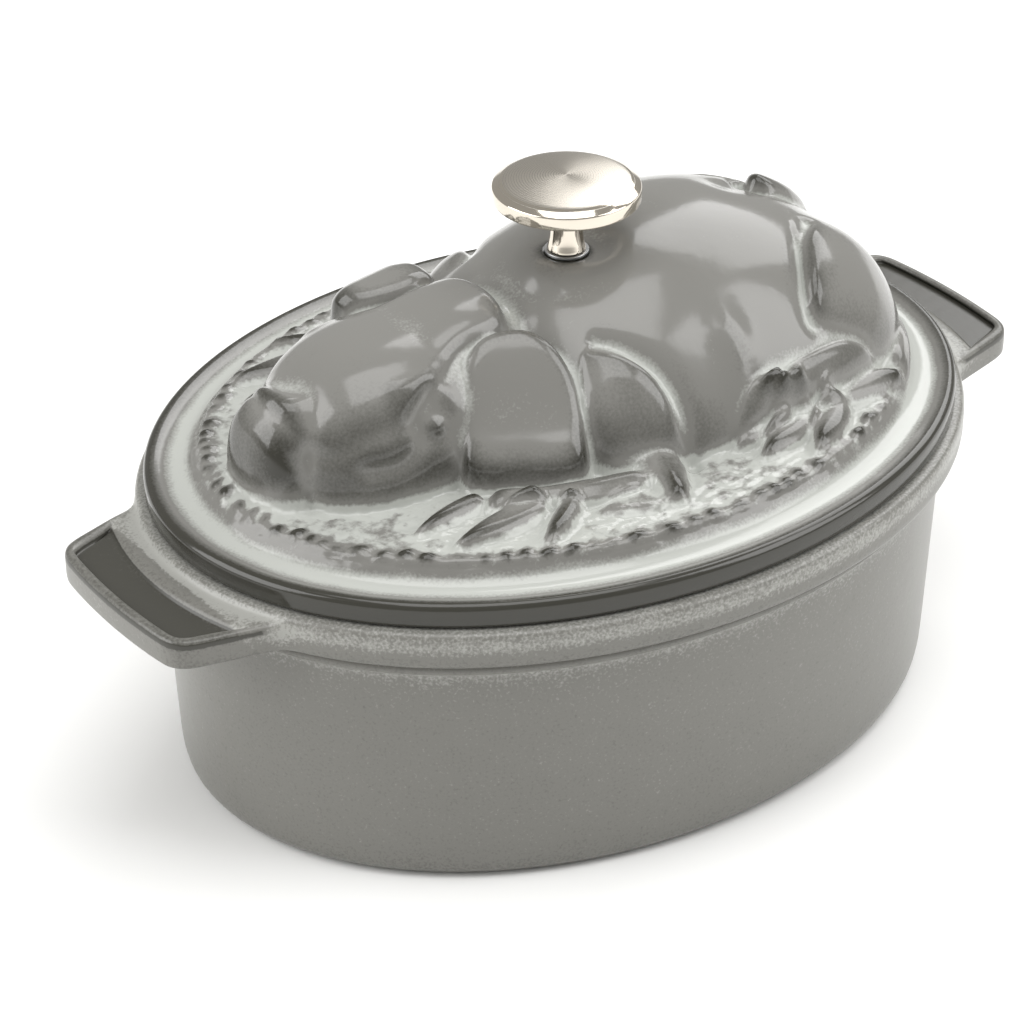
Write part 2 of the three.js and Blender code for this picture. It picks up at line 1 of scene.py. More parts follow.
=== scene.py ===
"""An oval cocotte of glazed cast iron with a lying pig on its lid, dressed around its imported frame."""
import math

import bpy
import numpy as np
from mathutils import Matrix, Vector


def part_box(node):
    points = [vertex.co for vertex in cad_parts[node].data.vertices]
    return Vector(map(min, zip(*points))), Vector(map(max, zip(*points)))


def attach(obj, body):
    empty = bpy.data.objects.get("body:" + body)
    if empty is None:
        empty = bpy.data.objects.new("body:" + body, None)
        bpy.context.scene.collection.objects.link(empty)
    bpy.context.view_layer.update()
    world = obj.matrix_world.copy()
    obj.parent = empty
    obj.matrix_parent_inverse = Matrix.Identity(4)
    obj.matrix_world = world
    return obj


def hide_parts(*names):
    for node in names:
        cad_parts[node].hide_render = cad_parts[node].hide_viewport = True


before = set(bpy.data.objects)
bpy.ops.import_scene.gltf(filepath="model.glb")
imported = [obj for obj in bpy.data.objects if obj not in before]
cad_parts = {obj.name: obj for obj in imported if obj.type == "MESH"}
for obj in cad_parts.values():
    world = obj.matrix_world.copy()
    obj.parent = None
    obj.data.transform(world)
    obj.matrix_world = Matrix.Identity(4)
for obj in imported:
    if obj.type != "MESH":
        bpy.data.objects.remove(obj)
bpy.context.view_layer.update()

# Sizes are in millimetres and are turned to metres where a mesh is made.
MM = 0.001
_, POT_HIGH = (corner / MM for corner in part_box("pot"))
LID_LOW, LID_HIGH = (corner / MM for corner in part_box("lid"))
KNOB_LOW, KNOB_HIGH = (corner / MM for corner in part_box("knob"))
SCREW_LOW, SCREW_HIGH = (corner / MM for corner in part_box("knob_screw"))

# Gaps that the solids keep between pieces that touch on the real object, and the holes for the screw.
SEAT_GAP = 0.3
STACK_GAP = 0.1
SCREW_HOLE = 2.5
WASHER_HOLE = 2.3

# An oval is named by its half length along X; its half width is smaller by the same amount all the way.
OVAL_DIFFERENCE = LID_HIGH.x - LID_HIGH.y
RIM = POT_HIGH.y + OVAL_DIFFERENCE
RIM_TOP = POT_HIGH.z
LID_EDGE = LID_HIGH.x
LID_SEAT = RIM_TOP + SEAT_GAP
SKIRT_END = LID_LOW.z
KNOB_X = (KNOB_LOW.x + KNOB_HIGH.x) / 2
KNOB_RADIUS = (KNOB_HIGH.x - KNOB_LOW.x) / 2
KNOB_FOOT = KNOB_LOW.z
KNOB_TOP = KNOB_HIGH.z
SEAT_WASHER_LOW, SEAT_WASHER_HIGH = (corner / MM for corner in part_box("knob_seat_washer"))
KNOB_SEAT = SEAT_WASHER_LOW.z - STACK_GAP
FLAT_LOW, FLAT_HIGH = (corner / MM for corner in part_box("flat_washer"))
SPRING_LOW, SPRING_HIGH = (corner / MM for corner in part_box("spring_washer"))
SPOT_FACE = FLAT_HIGH.z + STACK_GAP
CIRCLE_INSIDE = 5
OVAL_OUTSIDE = 52


# Modelling in code

def half_width(half_length):
    """An oval's half width: the rim's shape outside, easing to a circle round the knob's axis."""
    t = np.clip((half_length - CIRCLE_INSIDE) / (OVAL_OUTSIDE - CIRCLE_INSIDE), 0, 1)
    return half_length - OVAL_DIFFERENCE * t * t * (3 - 2 * t)


def oval_centre(half_length, inner_x):
    """Where an oval's middle lies along X: on the pot's axis outside, on the knob's axis inside."""
    t = np.clip((half_length - CIRCLE_INSIDE) / (OVAL_OUTSIDE - CIRCLE_INSIDE), 0, 1)
    return inner_x * (1 - t * t * (3 - 2 * t))


def deselect_all():
    """Nothing is selected, so that the next operator touches only what is added next."""
    bpy.ops.object.select_all(action="DESELECT")


def drawn_up(name, rings, around):
    """A circle, drawn up ring by ring. A ring is (half length, half width, height, middle along X)."""
    deselect_all()
    length, width, height, middle = rings[0]
    bpy.ops.mesh.primitive_circle_add(vertices=around, radius=1, location=(middle * MM, 0, height * MM))
    piece = bpy.context.object
    piece.name = name
    piece.scale = (length * MM, width * MM, 1)
    bpy.ops.object.transform_apply()
    bpy.ops.object.mode_set(mode="EDIT")
    bpy.ops.mesh.select_all(action="SELECT")
    for before, after in zip(rings, rings[1:]):
        rise = ((after[3] - before[3]) * MM, 0, (after[2] - before[2]) * MM)
        bpy.ops.mesh.extrude_edges_move(TRANSFORM_OT_translate={"value": rise})
        size = (after[0] / before[0], after[1] / before[1], 1)
        bpy.ops.transform.resize(value=size, center_override=(after[3] * MM, 0, 0))
    bpy.ops.object.mode_set(mode="OBJECT")
    return piece


def oval_rings(profile, inner_x=0.0):
    """Rings of the cocotte's oval from (half length, height) points."""
    return [(r, half_width(r), z, oval_centre(r, inner_x)) for r, z in profile]


def round_rings(profile, middle):
    """Rings turned about an upright axis from (radius, height) points."""
    return [(r, r, z, middle) for r, z in profile]


def arc(centre, radius, start, end, steps):
    """Points of a round corner in a profile, from one angle to another in degrees."""
    angles = np.radians(np.linspace(start, end, steps))
    return [(centre[0] + radius * math.cos(a), centre[1] + radius * math.sin(a)) for a in angles]


def close_up(piece):
    """Welds rings that meet, fills open ends, and turns the faces outwards."""
    bpy.context.view_layer.objects.active = piece
    bpy.ops.object.mode_set(mode="EDIT")
    bpy.ops.mesh.select_all(action="SELECT")
    bpy.ops.mesh.remove_doubles(threshold=0.005 * MM)
    bpy.ops.mesh.fill_holes(sides=0)
    bpy.ops.mesh.normals_make_consistent(inside=False)
    bpy.ops.object.mode_set(mode="OBJECT")


def pick_faces(piece, wanted):
    """In edit mode, selects the faces whose middle (in mm) and normal the test wants."""
    bpy.ops.mesh.select_all(action="DESELECT")
    bpy.ops.object.mode_set(mode="OBJECT")
    for face in piece.data.polygons:
        face.select = bool(wanted(face.center / MM, face.normal))
    bpy.ops.object.mode_set(mode="EDIT")
    bpy.ops.mesh.select_mode(type="FACE")


def apply_modifier(piece, kind, **settings):
    """Adds a modifier with its settings and applies it."""
    bpy.context.view_layer.objects.active = piece
    made = piece.modifiers.new(kind.title(), kind)
    for name, value in settings.items():
        setattr(made, name, value)
    bpy.ops.object.modifier_apply(modifier=made.name)


def shade(piece, angle=None):
    """Smooth shading, all over or up to an angle between faces in degrees."""
    deselect_all()
    piece.select_set(True)
    bpy.context.view_layer.objects.active = piece
    if angle is None:
        bpy.ops.object.shade_smooth()
    else:
        bpy.ops.object.shade_smooth_by_angle(angle=math.radians(angle))


def finish_piece(piece, body, node, slot, *materials):
    """Gives a piece its materials and its body, and hides the imported part of the node that it stands for.
    Its slot is not used.
    """
    for material in materials:
        piece.data.materials.append(material)
    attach(piece, body)
    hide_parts(node)


def points_of(piece):
    """A mesh's points in millimetres."""
    place = np.empty(3 * len(piece.data.vertices))
    piece.data.vertices.foreach_get("co", place)
    return place.reshape(-1, 3) / MM


def move_points(piece, place):
    """Puts a mesh's points at places in millimetres."""
    piece.data.vertices.foreach_set("co", (place * MM).ravel())
    piece.data.update()


# The pot: its cage is drawn up in rings, the handles are pulled out of its rim, and it is subdivided

POT_AROUND = 96
BAND_PROUD = 4.2
WALL_DRAFT = 2.2
FLOOR = 4.6
BAND_BOTTOM = RIM_TOP - 7.5
HANDLE_UNDER = RIM_TOP - 7.4
HANDLE_TOP = RIM_TOP - 1.4
HANDLE_ROOT = 24.4
PANEL_BORDER = 2.3
PANEL_SINK = 1.3
# The pulls that make a handle: how far out, how much flatter its end is then, and how much narrower.
HANDLE_STEPS = ((2.0, 0.8, 0.965), (4.5, 0.55, 0.93), (4.4, 0.6, 0.94), (2.2, 0.8, 0.94), (1.3, 0.85, 0.87))


def pot_profile():
    """The pot's section, from the middle of its base up the outside, over the rim and down to the floor."""
    wall = RIM - BAND_PROUD
    foot = wall - WALL_DRAFT
    bead = BAND_BOTTOM - 2.3
    base = [(4, 0.7), (30, 0.7), (56, 0.7), (70, 0.7), (71.2, 0.5), (72, 0), (73, 0), (foot - 4.2, 0)]
    corner = [(foot - 2.4, 0.25), (foot - 0.7, 1.6), (foot - 0.1, 3.6), (foot + 0.15, 6)]
    side = [(foot + 0.5, 13), (foot + 1, 23), (foot + 1.5, 33), (foot + 1.9, 41), (wall, bead - 2.2)]
    roll = [(wall + 0.1, bead - 1.1), (wall + 1.25, bead - 0.7)]
    roll += [(wall + 1.5, bead + 0.1), (wall + 1.2, bead + 0.9)]
    flare = [(wall + 0.9, bead + 1.3), (wall + 1.5, bead + 1.9), (RIM - 0.9, BAND_BOTTOM - 0.1)]
    band = [(RIM - 0.15, HANDLE_UNDER + 0.7), (RIM, HANDLE_UNDER + 2.2)]
    band += [(RIM, HANDLE_TOP - 1.8), (RIM, HANDLE_TOP)]
    rim = [(RIM - 0.35, RIM_TOP - 0.45), (RIM - 1.3, RIM_TOP), (RIM - 4, RIM_TOP), (wall - 3.2, RIM_TOP)]
    inside = [(wall - 4, RIM_TOP - 0.3), (wall - 4.25, RIM_TOP - 1.5), (wall - 4.4, 50), (foot - 3.4, 28)]
    floor = [(foot - 4.2, 12.5), (foot - 5.2, 8), (foot - 8.2, 5.4)]
    floor += [(r, FLOOR) for r in (foot - 13, 48, 24, 4)]
    return base + corner + side + roll + flare + band + rim + inside + floor


def pull_handle(piece, side):
    """Extrudes one handle out of the rim band, narrows and flattens it, and sinks the panel in its top."""
    def on_band(middle, normal):
        outward = normal.x * side > 0.5
        level = HANDLE_UNDER < middle.z < HANDLE_TOP + 0.1
        return outward and level and middle.x * side > RIM - 8.5 and abs(middle.y) < HANDLE_ROOT
    pick_faces(piece, on_band)
    reach = RIM
    for pull, flatten, narrow in HANDLE_STEPS:
        reach += pull
        bpy.ops.mesh.extrude_region_move(TRANSFORM_OT_translate={"value": (side * pull * MM, 0, 0)})
        centre = (side * reach * MM, 0, (HANDLE_UNDER + HANDLE_TOP) / 2 * MM)
        bpy.ops.transform.resize(value=(flatten, narrow, 1), center_override=centre)

    def on_top(middle, normal):
        level = HANDLE_TOP - 1 < middle.z < HANDLE_TOP + 0.05
        return normal.z > 0.7 and side * middle.x > RIM - 5 and level
    pick_faces(piece, lambda middle, normal: on_top(middle, normal) and on_tab(middle, side))
    bpy.ops.mesh.inset(thickness=PANEL_BORDER * MM, use_even_offset=False)
    bpy.ops.mesh.inset(thickness=0.5 * MM)
    bpy.ops.transform.translate(value=(0, 0, -PANEL_SINK * MM))
    bpy.ops.mesh.inset(thickness=0.6 * MM)


def on_tab(middle, side):
    """True on the part of a handle that stands clear of the oval rim."""
    out = (middle.x / (RIM + 1.2)) ** 2 + (middle.y / (half_width(RIM) + 1.2)) ** 2
    return out > 1 and side * middle.x > 0


def make_pot():
    """The pot with its two handles."""
    piece = drawn_up("pot_casting", oval_rings(pot_profile()), POT_AROUND)
    close_up(piece)
    bpy.ops.object.mode_set(mode="EDIT")
    for side in (-1, 1):
        pull_handle(piece, side)
    bpy.ops.object.mode_set(mode="OBJECT")
    apply_modifier(piece, "SUBSURF", levels=2, render_levels=2)
    shade(piece)
    return piece


def pot_glaze_and_highlight(piece):
    """The pot's glaze: thin on the handles' sunk panels, and lighter on the upper half of the rim band,
    partly for thicker glaze and partly as a painted highlight where its top faces the light.
    """
    place = points_of(piece)
    reach = np.abs(place[:, 0])
    out = np.hypot(place[:, 0] / (RIM + 0.6), place[:, 1] / half_width(RIM + 0.6))
    panel = np.abs(place[:, 2] - (HANDLE_TOP - PANEL_SINK)) < 0.5
    panel &= (reach > RIM - 3) & (out > 1)
    # Painted highlight: the upper half of the rim band is made lighter, partly for thicker glaze and partly
    # for the light on its upward-facing top.
    rim_glaze_and_highlight = ease(place[:, 2], RIM_TOP - 5.5, RIM_TOP - 2.5) * (reach < RIM + 1)
    return pool_glaze(piece, 8, 30, 0) - 0.75 * panel + 0.28 * rim_glaze_and_highlight


def line_inside(piece, wanted):
    """Gives the faces that the test wants a casting's second material, the lining."""
    for face in piece.data.polygons:
        if wanted(face.center / MM, face.normal):
            face.material_index = 1


def inside_pot(middle, normal):
    """True on the pot's inner wall and floor, below its rim."""
    out = math.hypot(middle.x / (RIM - 7.6), middle.y / half_width(RIM - 7.6))
    return out < 1 and 3 < middle.z < RIM_TOP - 1


# The lid: rings over its top and under it, with the pig sculpted by moving their points

LID_AROUND = 480
RELIEF_RINGS = 140
RING_MARK = 0.01
SPACING_ROUNDS = 8
GROUND_EDGE = 75.6
GROUND = 67
PIG_AXIS = 1
FORM_SINK = 1
PLATE_UNDER = 60.7
TUFTS = 96
COVE = ((82.8, 63.9), (82, 63.6), (80.8, 63.3), (79.4, 63.2), (78, 63.4), (76.8, 64), (76, 64.8))


def relief_lengths(count):
    """Half lengths of the ovals that carry the pig, from the lid's cove in to the knob's seat."""
    return np.linspace(GROUND_EDGE, 6, count)


def lid_profile():
    """The lid's section: from the screw hole outwards below, round the lip and in over the top."""
    under = [(SCREW_HOLE, SPOT_FACE), (6, SPOT_FACE)]
    under += [(r, SPOT_FACE) for r in np.linspace(9, 66, 20)]
    skirt_in, skirt_out = 73.9, 77.9
    under += [(skirt_in - 4, PLATE_UNDER), (skirt_in - 1, 60.2), (skirt_in, 59), (skirt_in, SKIRT_END + 0.6)]
    skirt = [(skirt_in + 0.5, SKIRT_END), (skirt_out - 0.5, SKIRT_END), (skirt_out, SKIRT_END + 0.6)]
    seat = [(skirt_out, LID_SEAT - 0.3), (skirt_out + 0.4, LID_SEAT), (LID_EDGE - 1.2, LID_SEAT)]
    lip = arc((LID_EDGE - 0.7, LID_SEAT + 0.7), 0.7, -70, 0, 4) + [(LID_EDGE, LID_SEAT + 2.2)]
    lip += arc((LID_EDGE - 1.5, 62.6), 1.5, 0, 80, 6)
    relief = [(r, GROUND + i * RING_MARK) for i, r in enumerate(relief_lengths(RELIEF_RINGS))]
    seat_top = [(5.2, KNOB_SEAT), (SCREW_HOLE, KNOB_SEAT), (SCREW_HOLE, SPOT_FACE)]
    return under + skirt + seat + lip + list(COVE) + relief + seat_top


def smooth_max(a, b, blend):
    """The higher of two heights, with a rounded corner where they meet."""
    mix = np.clip(0.5 + (a - b) / (2 * blend), 0, 1)
    return b + (a - b) * mix + blend * mix * (1 - mix)


def ease(value, low, high):
    """Nought below low, one above high, and a smooth rise between."""
    t = np.clip((value - low) / (high - low), 0, 1)
    return t * t * (3 - 2 * t)


def dome(x, y, centre, half, height, full, slope):
    """A swelling over a rounded oval; full squares the oval and a small slope makes steep sides."""
    out = np.abs((x - centre[0]) / half[0]) ** full + np.abs((y - centre[1]) / half[1]) ** full
    return np.where(out < 1, height * np.clip(1 - out, 0, 1) ** slope, -height * (out - 1))


def bump(x, y, centre, size, height):
    """A soft swelling, or a dent if its height is negative."""
    return height * np.exp(-((x - centre[0]) / size[0]) ** 2 - ((y - centre[1]) / size[1]) ** 2)


def through(points, closed):
    """A smooth curve through a few points."""
    p = np.array(points, float)
    index = np.arange(len(p) if closed else len(p) - 1)
    place = (lambda i: p[i % len(p)]) if closed else (lambda i: p[np.clip(i, 0, len(p) - 1)])
    a, b, c, d = place(index - 1), place(index), place(index + 1), place(index + 2)
    t = np.linspace(0, 1, 6)[:-1, None, None]
    curve = b + 0.5 * t * (c - a + t * (2 * a - 5 * b + 4 * c - d + t * (3 * b - a - 3 * c + d)))
    curve = curve.transpose(1, 0, 2).reshape(-1, 2)
    return np.vstack([curve, p[:1] if closed else p[-1:]])


def distance(x, y, line):
    """How far places are from a line of points."""
    near = np.full(np.shape(x), 1e9)
    for (ax, ay), (bx, by) in zip(line, line[1:]):
        along = ((x - ax) * (bx - ax) + (y - ay) * (by - ay)) / ((bx - ax) ** 2 + (by - ay) ** 2 + 1e-9)
        t = np.clip(along, 0, 1)
        near = np.minimum(near, np.hypot(x - ax - t * (bx - ax), y - ay - t * (by - ay)))
    return near


def depth_inside(x, y, line):
    """How far places are inside a closed line; negative outside."""
    inside = np.zeros(np.shape(x), bool)
    for (ax, ay), (bx, by) in zip(line, line[1:]):
        crosses = (ay > y) != (by > y)
        inside ^= crosses & (x < (bx - ax) * (y - ay) / (by - ay + 1e-12) + ax)
    near = distance(x, y, line)
    return np.where(inside, near, -near)


def pillow(x, y, outline, rise, edge):
    """A raised form with a quarter-round edge."""
    t = np.clip(depth_inside(x, y, through(outline, True)) / edge, 0, 1)
    return rise * np.sqrt(1 - (1 - t) ** 2)


def swell(x, y, outline, rise, edge):
    """A raised form that eases into what it lies on."""
    return rise * ease(depth_inside(x, y, through(outline, True)), -edge / 2, edge / 2)


def leaf(root, tip, width):
    """The outline of a toe, from its blunt root to its pointed tip."""
    root = np.array(root)
    along = np.array(tip) - root
    aside = np.array((-along[1], along[0])) / np.hypot(*along) * width / 2
    sides = ((0, 0.7), (0.35, 1), (0.75, 0.7), (1, 0), (0.75, -0.7), (0.35, -1), (0, -0.7))
    return [tuple(root + t * along + share * aside) for t, share in sides]


def groove(x, y, line, depth, width):
    """A modelled crease along a line."""
    return -depth * np.exp(-((distance(x, y, through(line, False)) / width) ** 2))


# The pig's swellings and the hollows under them: middle, half sizes in plan, height, fullness and slope.
BODY = ((22, 1), (53, 40), 33.5, 2.3, 0.66)
HEAD = ((-38, 1), (27, 20.5), 25, 2.5, 0.4)
POLL = ((-22, 1), (22, 18), 27, 2.6, 0.4)
SNOUT = ((-61, 2), (9.8, 10.8), 17.5, 2.8, 0.34)
BODY_HOLLOW = ((16, 1), (53, 31), 29, 2, 0.7)
HEAD_HOLLOW = ((-38, 1), (18, 11.5), 18, 2, 0.7)

# Outlines of the forms raised from it, on the near side; a toe is its root, tip and width.
EAR = ((-36.5, -22), (-32, -13), (-25, -9.5), (-17, -12), (-13, -19), (-13.5, -26), (-18, -32), (-27, -28))
EAR_DOWN = (-0.416, -0.91)
EAR_TOP, EAR_HANG = 93, 18.5
FAR_EAR = ((-19, 13), (-19, 23), (-24, 29), (-32, 27), (-38, 21), (-36, 15), (-27, 12))
FAR_EAR_TOP, FAR_EAR_HANG = 93.5, 6.5
ARM = ((-13, -25), (-7, -19), (-1, -26), (2, -34), (0, -41), (-5, -48), (-9, -47), (-8, -37), (-12.5, -32))
FOREARM = ((-34, -26), (-26, -30), (-17, -33), (-8, -36), (-9, -41), (-20, -40), (-27, -36), (-38, -31))
ELBOW = ((-10, -41), (-17, -40), (-22, -42), (-17, -46), (-9, -48))
FORE_TOES = (
    ((-37, -26), (-53, -28.5), 5), ((-29, -34.5), (-50, -36.5), 7), ((-23.5, -37), (-36, -45.5), 5),
)
HAUNCH = ((49, -10), (43, -20), (38, -30), (51, -32), (60, -37), (69, -28), (74, -12), (60, 0))
HIND_FOOT = ((20, -36.5), (36, -34), (50, -32.5), (57, -37), (48, -40), (36, -40.5), (26, -39))
HIND_TOES = (
    ((26, -37.5), (12, -39.5), 6), ((31, -38.5), (14.5, -45), 7), ((38, -39), (24.5, -49), 7),
)
TAIL = ((49, 4), (54, 1), (61, 2), (67, 6), (66, 11), (60, 12), (54, 10))
TAIL_SLIT = ((50.5, 2), (49.5, 6), (51.5, 10.5))
HEAD_CAP = ((-66, 1), (-60, -11), (-46, -16), (-38, -14), (-30, -10), (-20, -9.5), (-16.5, -4), (-16.5, 6),
            (-20, 11.5), (-30, 12), (-38, 16), (-46, 18), (-60, 13))
SNOUT_DISC = ((-62, 3), (-60, -3), (-63, -6.5), (-69.5, -7.5), (-71, -3), (-71, 5), (-69.5, 11), (-64, 11))
THIGH_CREASE = ((51, -12), (45, -18), (40, -25), (37.5, -30))
SHOULDER = ((-6, -20), (-2, -24), (2, -29), (4, -35), (3, -39))
NECK = ((-19, -16), (-16, -10), (-14.5, -4), (-14, 1), (-14.5, 6), (-16, 12), (-19, 18))
BROW = ((-47, -13), (-43, -13.5), (-39, -14), (-36, -15.5))


def both_sides(points):
    """An outline on the near side, and its mirror image on the far side."""
    return [points, [(x, 2 * PIG_AXIS - y) for x, y in points]]


def flap(x, y, outline, surface, edge):
    """An ear: a slab with a rounded edge that stands off the head."""
    depth = depth_inside(x, y, through(outline, True))
    t = np.clip(depth / edge, 0, 1)
    return surface - edge * (1 - np.sqrt(1 - (1 - t) ** 2)) + np.minimum(depth, 0) * 6


def tufts(x, y):
    """The border of tufts round the ground: about one on the tallest, nought between and beyond them."""
    turn = np.arctan2(y / half_width(GROUND_EDGE), x / GROUND_EDGE)
    out = np.hypot(x / GROUND_EDGE, y / half_width(GROUND_EDGE))
    wander = turn + 0.02 * np.sin(9 * turn) + 0.012 * np.sin(23 * turn + 1)
    tall = 0.6 + 0.25 * np.sin(17 * turn) + 0.15 * np.sin(31 * turn + 2)
    tuft = (0.5 + 0.5 * np.cos(TUFTS * wander)) * tall
    return tuft * np.exp(-((out - 0.962 + 0.006 * np.sin(37 * turn)) / 0.02) ** 2)


def stippled_ground(x, y, calm):
    """The ground that the pig lies on: low, pitted where nothing calms it, with its border of tufts."""
    across = np.sin(2 * np.pi * (x / 3.9 + 0.35 * np.sin(y / 1.7)))
    along = np.sin(2 * np.pi * (y / 3.4 + 0.35 * np.sin(x / 1.5)))
    out = np.hypot(x / GROUND_EDGE, y / half_width(GROUND_EDGE))
    pits = 0.3 * across * along + 1.4 * tufts(x, y)
    return GROUND + 0.8 * (1 - out) + pits * (1 - calm) - 1.6 * ease(out, 0.975, 1)


def pig_height(x, y):
    """Height of the pig and the ground that it lies on, at places on the lid."""
    forms = (BODY, HEAD, POLL, SNOUT)
    body, head, poll, snout = (GROUND - FORM_SINK + dome(x, y, *form) for form in forms)
    height = smooth_max(smooth_max(smooth_max(head, poll, 2.5), snout, 3.5), body, 2.5)
    side = np.abs(y - PIG_AXIS)
    arm_edge = np.interp(x, (-12, -2), (3, 9))
    haunch_edge = np.interp(x, (38, 52), (3.5, 14))
    haunch_rise = 4 * ease(side, 3, 20) * np.where(y > PIG_AXIS, 0.3, 1)
    raised = [
        (HAUNCH, haunch_rise, haunch_edge), (HIND_FOOT, 4, 5),
        (ARM, 1 + 3.5 * ease(side, 20, 34), arm_edge),
        (FOREARM, 3.5, 5), (ELBOW, 1.2, 2.5),
        *((leaf(*toe), 3.2, 3) for toe in HIND_TOES), *((leaf(*toe), 2.6, 2.4) for toe in FORE_TOES),
    ]
    carved = [(THIGH_CREASE, 1.8, 1.5), (SHOULDER, 1.6, 1.6), (BROW, -0.8, 1.8)]
    lift = 0
    for outline, rise, edge in raised:
        for mirrored in both_sides(outline):
            lift = lift + pillow(x, y, mirrored, rise, edge)
    height = smooth_max(height, stippled_ground(x, y, ease(lift, 0.2, 1)), 1.6) + lift
    for line, depth, width in carved:
        for mirrored in both_sides(line):
            height = height + groove(x, y, mirrored, depth, width)
    height = height + bump(x, y, (19, -31), (4, 5), 1.6) + bump(x, y, (19, 33), (4, 5), 1.6)
    height = height + pillow(x, y, HEAD_CAP, 2, 2.2) + groove(x, y, NECK, 1.6, 2.2)
    height = height + swell(x, y, SNOUT_DISC, 1.7, 5)
    hanging = EAR_TOP - EAR_HANG * ease(x * EAR_DOWN[0] + y * EAR_DOWN[1], 17, 38)
    height = smooth_max(height, flap(x, y, EAR, hanging, 3.5), 0.8)
    lifted = FAR_EAR_TOP - FAR_EAR_HANG * ease(y, 18, 32) - 0.12 * np.abs(x + 24)
    height = smooth_max(height, flap(x, y, FAR_EAR, lifted, 3.5), 0.8)
    height = height + pillow(x, y, TAIL, 3.2, 3.6) + groove(x, y, TAIL_SLIT, 2.6, 1.3)
    height = height + bump(x, y, (45, 6), (4, 5), -1.2)
    return KNOB_SEAT + (height - KNOB_SEAT) * ease(np.hypot(x - KNOB_X, y), 4.5, 13)


EYE = (-40, 80.3)
SMILE = ((-40.2, 86), (-44.3, 83), (-44.1, 78), (-48.4, 75.4), (-54.3, 75))
MOUTH = ((-66, 81.5), (-65.8, 78), (-64.5, 76), (-61.8, 78.7))


def carved_face(place):
    """Eyes, jowl folds and mouth, pressed into the steep sides of the head."""
    x, y, z = place.T
    relief = groove(x, z, SMILE, 0.8, 1.9) + groove(x, z, MOUTH, 0.9, 1.3)
    relief = relief + bump(x, z, EYE, (4, 4), -1) + bump(x, z, EYE, (1.6, 1.3), 1.3)
    side = y - PIG_AXIS
    shift = relief * np.sign(side) * ease(np.abs(side), 6, 10) * ease(-x, 33, 36)
    return np.column_stack([x, y + shift, z])


def hollow_height(x, y):
    """Height of the lid's underside, hollowed out below the body and the head."""
    body = dome(x, y, *BODY_HOLLOW)
    head = dome(x, y, *HEAD_HOLLOW)
    return PLATE_UNDER + smooth_max(smooth_max(body, head, 3), 0, 3)


def along_spokes(half_length, turn):
    """Plan places on the lid's ovals, at turns round them."""
    x = oval_centre(half_length, KNOB_X) + half_length * np.cos(turn)
    return x, half_width(half_length) * np.sin(turn)


def even_spacing(turn):
    """Half lengths for the rings on each spoke, so that steep sides get as many points as flat ones."""
    trial = relief_lengths(4 * RELIEF_RINGS)
    x, y = along_spokes(trial[:, None], turn[None, :])
    dx, dy, dz = (np.diff(column, axis=0) for column in (x, y, pig_height(x, y)))
    steps = np.sqrt(dx ** 2 + dy ** 2 + dz ** 2)
    steps = 0.25 * steps.mean(0) + 0.75 * steps
    travelled = np.vstack([np.zeros(len(turn)), np.cumsum(steps, axis=0)])
    wanted = np.linspace(0, 1, RELIEF_RINGS)
    spaced = [np.interp(wanted, column / column[-1], trial) for column in travelled.T]
    spaced = np.array(spaced).T
    for _ in range(SPACING_ROUNDS):
        spaced = (np.roll(spaced, 1, axis=1) + 2 * spaced + np.roll(spaced, -1, axis=1)) / 4
    return spaced


def sculpt_lid(piece):
    """Moves the relief's points on to the pig and the hollow's points up under it."""
    place = points_of(piece)
    top = (place[:, 2] > GROUND - 0.5 * RING_MARK) & (place[:, 2] < GROUND + RELIEF_RINGS * RING_MARK)
    ring = np.round((place[top, 2] - GROUND) / RING_MARK).astype(int)
    length = relief_lengths(RELIEF_RINGS)[ring]
    along = (place[top, 0] - oval_centre(length, KNOB_X)) / length
    turn = np.arctan2(place[top, 1] / half_width(length), along)
    spoke = np.round(turn / (2 * np.pi) * LID_AROUND).astype(int) % LID_AROUND
    spaced = even_spacing(2 * np.pi * np.arange(LID_AROUND) / LID_AROUND)
    x, y = along_spokes(spaced[ring, spoke], turn)
    grid = np.empty((RELIEF_RINGS, LID_AROUND, 3))
    grid[ring, spoke] = carved_face(np.column_stack([x, y, pig_height(x, y)]))
    grid = (np.roll(grid, 1, axis=1) + 2 * grid + np.roll(grid, -1, axis=1)) / 4
    grid[1:-1] = (grid[:-2] + 2 * grid[1:-1] + grid[2:]) / 4
    place[top] = grid[ring, spoke]
    level = np.abs(place[:, 2] - SPOT_FACE) < 1e-3
    under = level & (np.hypot(place[:, 0] - KNOB_X, place[:, 1]) > 6.5) & ~top
    place[under, 2] = hollow_height(place[under, 0], place[under, 1])
    move_points(piece, place)


def pitted(piece):
    """How much pitted ground shows at each of the lid's points: nought on the pig and the lip."""
    x, y, z = points_of(piece).T
    out = np.hypot(x / GROUND_EDGE, y / half_width(GROUND_EDGE))
    level = (1 - ease(z, GROUND + 0.9, GROUND + 2.4)) * ease(z, GROUND - 1.5, GROUND - 0.5)
    return level * (1 - ease(out, 0.98, 1))


def lid_glaze(piece):
    """The lid's glaze: broken up on the pitted ground, and thin on the tufts round it."""
    x, y, z = points_of(piece).T
    out = np.hypot(x / GROUND_EDGE, y / half_width(GROUND_EDGE))
    cove = ease(out, 0.99, 1.01) * ease(z, 62, 63)
    return pool_glaze(piece, 10, 50, 0.35) - (0.2 + 0.9 * tufts(x, y)) * pitted(piece) - 0.2 * cove


def under_lid(middle, normal):
    """True in the lid's hollow, inside its skirt."""
    out = math.hypot(middle.x / 74.1, middle.y / half_width(74.1))
    return out < 1 and normal.z < 0.3 and middle.z < hollow_height(middle.x, middle.y) + 2


def make_lid():
    """The lid, one casting with the pig."""
    piece = drawn_up("lid_casting", oval_rings(lid_profile(), KNOB_X), LID_AROUND)
    sculpt_lid(piece)
    close_up(piece)
    shade(piece)
    return piece


# The knob and its fastening

ROUND = 96


